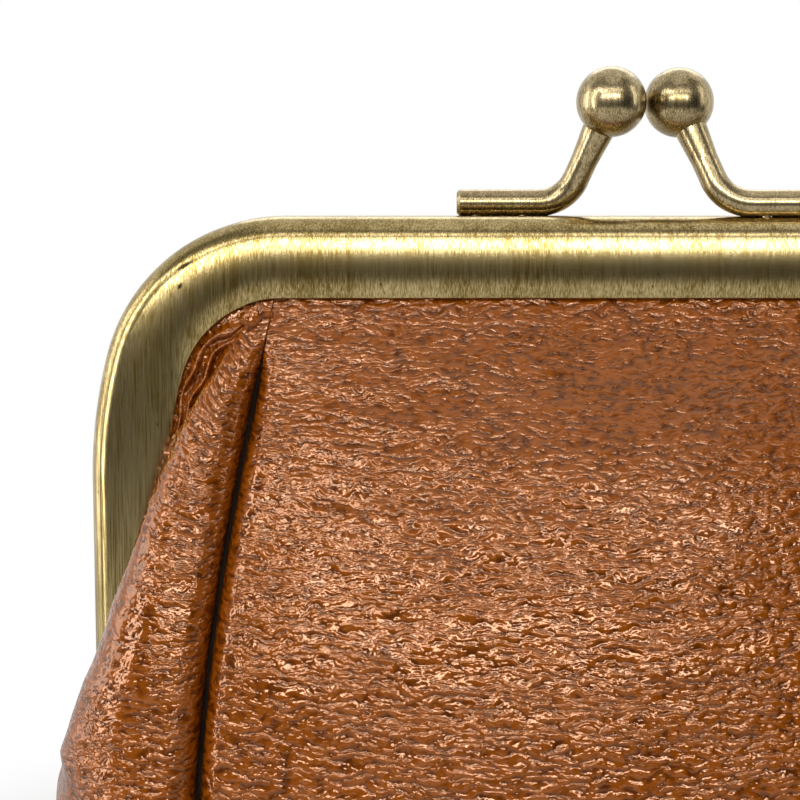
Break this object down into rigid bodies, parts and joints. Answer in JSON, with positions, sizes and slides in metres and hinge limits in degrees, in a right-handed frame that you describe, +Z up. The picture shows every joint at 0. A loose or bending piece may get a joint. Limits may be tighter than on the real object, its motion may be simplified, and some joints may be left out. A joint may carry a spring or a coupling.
{
  "type": "kiss lock frame purse",
  "caption": "Gusseted leather purse on a hinged metal mouth frame that snaps shut with crossing clasp balls.",
  "frame": {"origin": "on the surface that the purse stands on, under the middle of its box", "axes": "+X to the right along the top bar, +Y to the rear, +Z up through the clasp"},
  "size_m": [0.1338, 0.056, 0.1167],
  "materials": {
    "frame_brass": "brushed antique brass",
    "clasp_brass": "brushed antique brass",
    "leather": "glossy crinkled cognac",
    "lining": "plain woven brown",
    "thread": "waxed brown",
    "paper_cord": "twisted kraft paper"
  },
  "bodies": {
    "pouch": {"hinge_rivet_left": "frame_brass", "hinge_rivet_right": "frame_brass", "front_panel": "leather", "rear_panel": "leather", "left_gusset": "leather", "right_gusset": "leather", "base_panel": "leather", "front_lining": "lining", "rear_lining": "lining", "left_lining": "lining", "right_lining": "lining", "base_lining": "lining", "front_seam_thread": "thread", "rear_seam_thread": "thread"},
    "front_half": {"front_frame": "frame_brass", "front_clasp_stem": "clasp_brass", "front_clasp_ball": "clasp_brass", "front_clasp_rivets": "clasp_brass", "front_paper_cord": "paper_cord"},
    "rear_half": {"rear_frame": "frame_brass", "rear_clasp_stem": "clasp_brass", "rear_clasp_ball": "clasp_brass", "rear_clasp_rivets": "clasp_brass", "rear_paper_cord": "paper_cord"}
  },
  "joints": [
    {"name": "front_hinge", "type": "hinge", "parent": "pouch", "child": "front_half", "pos_m": [0, 0, 0.046], "axis": [1, 0, 0], "range_deg": [0, 35], "deforming": ["front_panel", "front_lining", "left_gusset", "right_gusset", "left_lining", "right_lining"]},
    {"name": "rear_hinge", "type": "hinge", "parent": "pouch", "child": "rear_half", "pos_m": [0, 0, 0.046], "axis": [-1, 0, 0], "range_deg": [0, 35], "deforming": ["rear_panel", "rear_lining", "left_gusset", "right_gusset", "left_lining", "right_lining"]}
  ],
  "couplings": [
    {"joint": "rear_hinge", "follows": "front_hinge", "ratio": 1}
  ]
}
